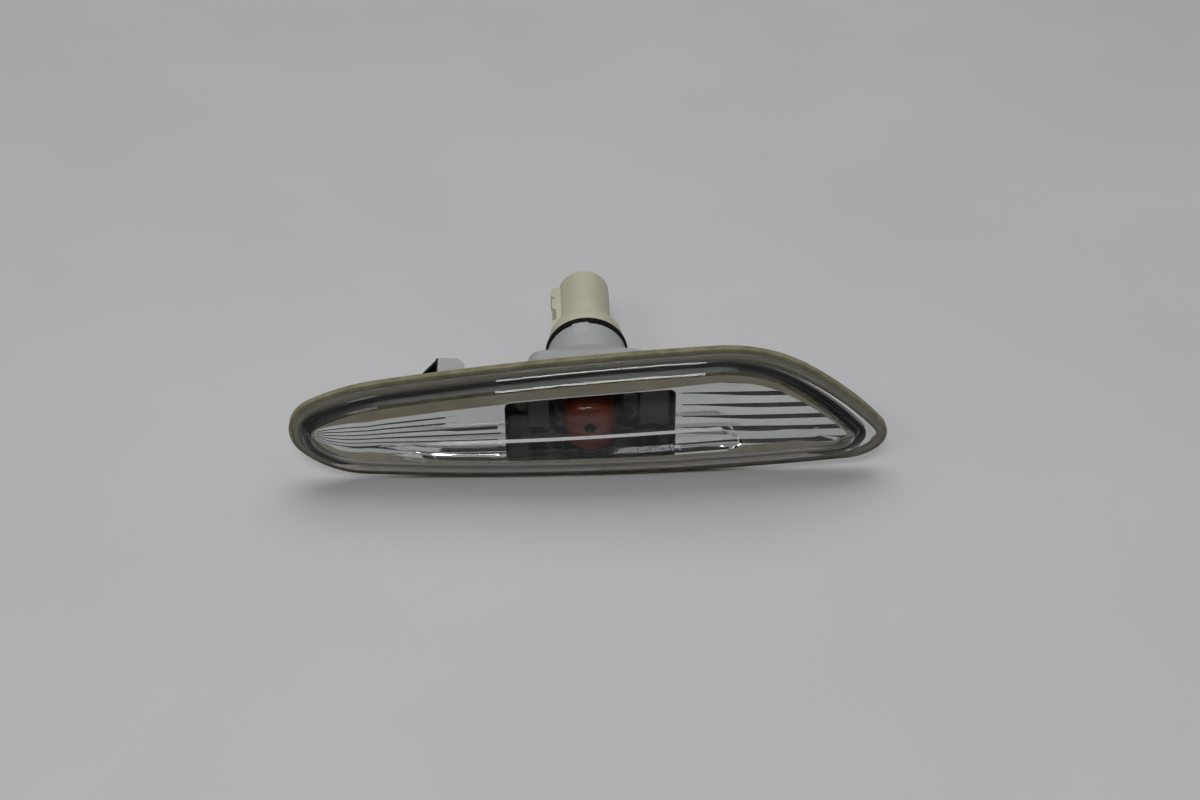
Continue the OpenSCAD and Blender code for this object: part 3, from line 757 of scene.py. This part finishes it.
def field_levels(x):
    """z of the grid's rows at one x, from the top edge of the field to its lower edge."""
    top, low = float(field_top(x)), float(field_low(x))
    if abs(x) >= FLUTES_FROM:
        first, pitch = (top, (top - low) / FLUTES) if x < 0 else (FLUTE_FIRST_Z, FLUTE_PITCH)
        flutes = [flute_rows(x, k, first - k * pitch, pitch) for k in range(FLUTES)]
        levels = np.clip(np.append(np.concatenate(flutes), low), low, top)
        levels[0] = top
        return levels
    half = WINDOW_LEN / 2
    at = min(max(x, -half), half)
    into_corner = max(0, abs(at) - half + WINDOW_R)
    round_off = WINDOW_R - math.sqrt(max(0, WINDOW_R ** 2 - into_corner ** 2))
    upper = WINDOW_TOP + WINDOW_RISE / WINDOW_LEN * at - round_off
    lower = WINDOW_LOW + round_off
    return np.interp(np.arange(FIELD_ROWS + 1), [0, *WINDOW_ROWS, FIELD_ROWS],
                     [max(top, upper + WINDOW_FRAME), upper, lower, min(low, lower - WINDOW_FRAME)])


def field_heights(x):
    """Height of the grid's rows over the sheet at one x."""
    heights = np.full(FIELD_ROWS + 1, float(crown_level(x)))
    if abs(x) < FLUTES_FROM:
        return heights
    rows = np.arange(FLUTE_ROWS)
    share = np.interp(rows, FLUTE_BREAKS, [1, 0, 0, 1])
    fade = eased((abs(x) - FLUTES_FROM) / FLUTE_FADE)
    for k in range(FLUTES):
        own = groove_depth(x, k)
        following = groove_depth(x, k + 1) if k + 1 < FLUTES or x > 0 else 0.0
        depth = share * np.where(rows <= FLANK_ROWS, own, following) * fade
        heights[k * FLUTE_ROWS:(k + 1) * FLUTE_ROWS] -= depth
    return heights


def reflector_insert():
    """The metallised insert: fluted field with the window in it and the window's rim."""
    half = WINDOW_LEN / 2
    nose, tip = FIELD_TOP[0, 0], FIELD_TOP[-1, 0]
    corner = half - WINDOW_R * (1 - np.sin(quarter_turn(CORNER_COLUMNS)))
    middle = np.linspace(-half + WINDOW_R, half - WINDOW_R, WINDOW_COLUMNS)[1:-1]
    across = np.concatenate([-corner[::-1], middle, corner])
    left = nose + (-FLUTES_FROM - nose) * (1 - np.cos(quarter_turn(LEFT_COLUMNS)))
    right = FLUTES_FROM + (tip - FLUTES_FROM) * np.sin(quarter_turn(RIGHT_COLUMNS))
    inner = FLUTES_FROM - COLUMN_BREAK
    xs = np.concatenate([left, [-inner], across, [inner], right])
    columns = [np.column_stack([np.full(FIELD_ROWS + 1, x), FIELD_Y - field_heights(x),
                                field_levels(x)]) for x in xs]
    # A row of this mesh is a column of the field, and its columns are the field's rows
    first, last = WINDOW_ROWS
    between = (xs[:-1] + xs[1:]) / 2
    faces = grid_faces(len(xs), FIELD_ROWS + 1,
                       keep=lambda c, r: not (first <= r < last and abs(between[c]) < half))
    panes = np.array([field_levels(x)[[first, last]] for x in across])
    loop = np.vstack([np.column_stack([across, panes[:, 0]]),
                      np.column_stack([across, panes[:, 1]])[::-1]])
    rim = [at_depth(loop, y) for y in (FIELD_Y - FLUTE_H, REFLECTOR_REAR_Y)]
    faces += grid_faces(len(rim), len(loop), len(xs) * (FIELD_ROWS + 1), closed=True)
    piece = make_mesh("reflector_insert", np.vstack(columns + rim), faces)
    return sharpen(oriented(piece, FIELD_MERGE), INSERT_SHARP)


def banded(name, rings):
    """A closed band through rings of points."""
    return oriented(make_mesh(name, np.vstack(rings),
                              grid_faces(len(rings), len(rings[0]), closed=True)))


def reflector_border():
    """The plain border between the lens and the fluted field."""
    edge = REFLECTOR_EDGE.ring()
    rings = [at_depth(edge, REFLECTOR_REAR_Y), at_depth(edge, FIELD_Y - COVE_H),
             at_depth(FIELD, FIELD_Y - crown_level(FIELD[:, 0])), at_depth(FIELD, FIELD_Y)]
    return sharpen(banded("reflector_border", rings), BORDER_SHARP)


def flat_ring(name, edges):
    """A thin flat ring between two outlines, just in front of the face that the lens rests on."""
    outer, inner = (edge.ring() for edge in edges)
    rear, front = (WELD_Y - skin for skin in RING_SKIN)
    return banded(name, [at_depth(outer, rear), at_depth(outer, front), at_depth(inner, front),
                         at_depth(inner, rear), at_depth(outer, rear)])


def painted_light_line():
    """A white line along the lower wall of the lens, narrowing at both ends: painted light, for the
    light that the lens's lower wall lets through there.
    """
    near, far = LINE_EDGES
    run = far.x1 - far.x0 - sum(LINE_GAPS)
    x = far.x0 + LINE_GAPS[0] + run * close_at_ends(LINE_STEPS)
    low, high = near.low(x), far.low(x)
    narrowed = np.minimum(1, np.minimum(x - x[0], x[-1] - x) / LINE_TAPER)
    high = low + (high - low) * np.maximum(narrowed, LINE_END_SHARE)
    rear, front = (WELD_Y - skin for skin in LINE_SKIN)
    rows = [at_depth(np.column_stack([x, z]), y)
            for z, y in ((low, rear), (low, front), (high, front), (high, rear), (low, rear))]
    faces = grid_faces(len(rows), len(x))
    faces += [tuple(r * len(x) for r in range(4)), tuple((r + 1) * len(x) - 1 for r in range(4))]
    return oriented(make_mesh("painted_light_line", np.vstack(rows), faces))


def blocks(name, boxes):
    """Upright blocks as one mesh, each from its corners (x0, x1, y0, y1, z0, z1)."""
    sides = ((0, 1, 3, 2), (4, 6, 7, 5), (0, 4, 5, 1), (2, 3, 7, 6), (0, 2, 6, 4), (1, 5, 7, 3))
    points, faces = [], []
    for x0, x1, y0, y1, z0, z1 in boxes:
        faces += [tuple(len(points) + corner for corner in side) for side in sides]
        points += [(x, y, z) for x in (x0, x1) for y in (y0, y1) for z in (z0, z1)]
    return make_mesh(name, points, faces, smooth=False)


def collar_tab():
    """The raised pad at the top of the collar's rim; its front runs out into the collar."""
    over = np.radians(90 - np.linspace(*TAB_ANGLES, TAB_STEPS))
    angles = np.concatenate([over, over[::-1]])
    rows = []
    for y, outer_r in TAB_PROFILE:
        radii = np.repeat([outer_r, TAB_INNER_R], TAB_STEPS)
        section = np.column_stack([radii * np.cos(angles), radii * np.sin(angles)])
        rows.append(at_depth(section, y))
    count, total = len(angles), len(angles) * len(rows)
    faces = grid_faces(len(rows), count, closed=True)
    faces += [tuple(range(count)), tuple(range(total - count, total))[::-1]]
    return sharpen(oriented(make_mesh("collar_tab", np.vstack(rows), faces)), EDGE_SHARP)


def turned(name, profile, sides, height=1.0):
    """A piece turned about the bulb's axis from (radius, y); height flattens it along z."""
    a = np.linspace(0, 2 * np.pi, sides, endpoint=False)
    circle = np.column_stack([np.cos(a), height * np.sin(a)])
    return banded(name, [at_depth(radius * circle, y) for radius, y in profile])


def bulb_pip():
    """The pinched end of the bulb's glass."""
    return turned("bulb_pip", PIP_PROFILE, PIP_SIDES, PIP_HEIGHT)


def holder_grip():
    """The thick shoulder of the bulb holder behind the seal ring, with its fillet to the shroud."""
    return sharpen(turned("holder_grip", GRIP_PROFILE, GRIP_SIDES), EDGE_SHARP)


def dress(node, material):
    """Gives a CAD node its material."""
    slots = NODES[node].data.materials
    slots.clear()
    slots.append(material)


def lens_piece():
    lens = lens_cover()
    lens.data.materials.append(clear_plastic())
    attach(lens, "lamp")
    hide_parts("lens")


def reflector_pieces():
    insert = reflector_insert()
    insert.data.materials.append(bright_metal())
    border = reflector_border()
    border.data.materials.append(tan_border())
    for piece in (insert, border):
        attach(piece, "lamp")
    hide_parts("reflector")


def painted_light_and_shade_pieces():
    """A ring of painted shade, an olive ring painted lighter and a line of painted light, which
    show through the flange and the wall of the lens.
    """
    # A near-black ring under the lens's step: painted shade, for the dark band that the step shows
    shade_ring = flat_ring("painted_shade_ring", SHADE_RING_EDGES)
    shade_ring.data.materials.append(moulded("painted_shade_black", (0.012, 0.013, 0.016), (0.03, 0.03, 0.035)))
    # An olive ring over the flange: the gasket's own olive seen through it, painted lighter as the
    # light that the clear flange lets in
    seat = flat_ring("flange_painted_light", SEAT_EDGES)
    seat.data.materials.append(moulded("olive_painted_light", (0.24, 0.23, 0.18), (0.32, 0.31, 0.25)))
    # A white line: painted light, for the light that the lens's lower wall lets through
    line = painted_light_line()
    line.data.materials.append(moulded("white_painted_light", (0.80, 0.75, 0.71), (0.92, 0.87, 0.83)))
    for piece in (shade_ring, seat, line):
        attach(piece, "lamp")


def housing_pieces():
    # The well's walls and blocks are coloured nearly black: painted shade on what is the housing's
    # grey plastic
    ribs = rounded(blocks("well_ribs", WELL_RIBS), WELL_RIB_EDGE)
    ribs.data.materials.append(moulded("well_plastic_painted_shade", (0.012, 0.012, 0.011),
                                       (0.075, 0.075, 0.072), grain=400))
    tab = collar_tab()
    tab.data.materials.append(moulded("tab_plastic", *HOUSING_GREYS))
    for piece in (ribs, tab):
        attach(piece, "lamp")


def holder_pieces(cream):
    pip = bulb_pip()
    pip.data.materials.append(metal("burnt_glass", (0.012, 0.008, 0.008), (0.03, 0.02, 0.018)))
    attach(pip, "holder")
    grip = holder_grip()
    grip.data.materials.append(cream)
    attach(grip, "holder")


def dress_nodes(cream):
    """Gives the nodes that stay their materials, and three of them rounded edges."""
    dress("gasket", foam())
    dress("housing", housing_plastic())
    dress("retaining_spring", metal("black_steel", (0.01, 0.01, 0.01), (0.03, 0.03, 0.03)))
    dress("bulb_holder", cream)
    dress("seal_ring", moulded("black_rubber", (0.004, 0.004, 0.004), (0.009, 0.009, 0.009),
                               shine=0.1, rough=(0.6, 0.8)))
    dress("bulb_glass", amber())
    dress("filament", metal("tungsten", (0.2, 0.2, 0.21), (0.4, 0.4, 0.41)))
    for side in ("left", "right"):
        dress("contact_" + side,
              metal("tinned_brass_contact_" + side, (0.5, 0.44, 0.3), (0.72, 0.66, 0.5)))
        dress("lead_wire_" + side,
              metal("nickel_lead_wire_" + side, (0.45, 0.45, 0.45), (0.7, 0.7, 0.68)))
    for node, width in NODE_EDGES:
        rounded(NODES[node], width)


def build():
    lens_piece()
    reflector_pieces()
    painted_light_and_shade_pieces()
    housing_pieces()
    cream = moulded("cream_plastic", (0.52, 0.50, 0.37), (0.58, 0.56, 0.43))
    holder_pieces(cream)
    dress_nodes(cream)


def stage():
    z = cad_box[0].z - FLOOR_GAP
    corners = [(-FLOOR_HALF, -FLOOR_HALF, z), (FLOOR_HALF, -FLOOR_HALF, z),
               (FLOOR_HALF, FLOOR_HALF, z), (-FLOOR_HALF, FLOOR_HALF, z)]
    floor = make_mesh("floor", np.array(corners) / MM, [(0, 1, 2, 3)])
    floor.data.materials.append(floor_paint())


def surroundings():
    """A faint grey sky, brighter overhead."""
    world = bpy.data.worlds.new("studio")
    bpy.context.scene.world = world
    world.use_nodes = True
    nodes, links = world.node_tree.nodes, world.node_tree.links
    place = nodes.new("ShaderNodeTexCoord")
    split = nodes.new("ShaderNodeSeparateXYZ")
    lift = nodes.new("ShaderNodeMapRange")
    lift.inputs["From Min"].default_value = -1.0
    ramp = nodes.new("ShaderNodeValToRGB")
    set_stops(ramp.color_ramp, [(at, (grey, grey, grey * SKY_BLUE)) for at, grey in SKY])
    links.new(place.outputs["Generated"], split.inputs["Vector"])
    links.new(split.outputs["Z"], lift.inputs["Value"])
    links.new(lift.outputs["Result"], ramp.inputs["Fac"])
    links.new(ramp.outputs["Color"], nodes["Background"].inputs["Color"])
    nodes["Background"].inputs["Strength"].default_value = 1.0


def area_light(name, at, size, power):
    data = bpy.data.lights.new(name, "AREA")
    data.shape = "RECTANGLE"
    data.size, data.size_y = size
    data.energy = power
    lamp = bpy.data.objects.new(name, data)
    bpy.context.scene.collection.objects.link(lamp)
    lamp.location = at
    lamp.rotation_euler = (Vector() - lamp.location).to_track_quat("-Z", "Y").to_euler()


def camera():
    data = bpy.data.cameras.new("camera")
    data.sensor_width = SENSOR
    data.lens = FOCAL_PX / FRAME_PX * SENSOR
    data.clip_start = CLIP_START
    cam = bpy.data.objects.new("camera", data)
    bpy.context.scene.collection.objects.link(cam)
    a, e = math.radians(AZIMUTH), math.radians(ELEVATION)
    back = Vector((math.sin(a) * math.cos(e), -math.cos(a) * math.cos(e), math.sin(e)))
    cam.location = Vector(TARGET) + back * DISTANCE
    cam.rotation_mode = "QUATERNION"
    cam.rotation_quaternion = (-back).to_track_quat("-Z", "Y")
    bpy.context.scene.camera = cam


build()
stage()
surroundings()
for light in LIGHTS:
    area_light(*light)
camera()
bpy.context.scene.view_settings.view_transform = "Standard"
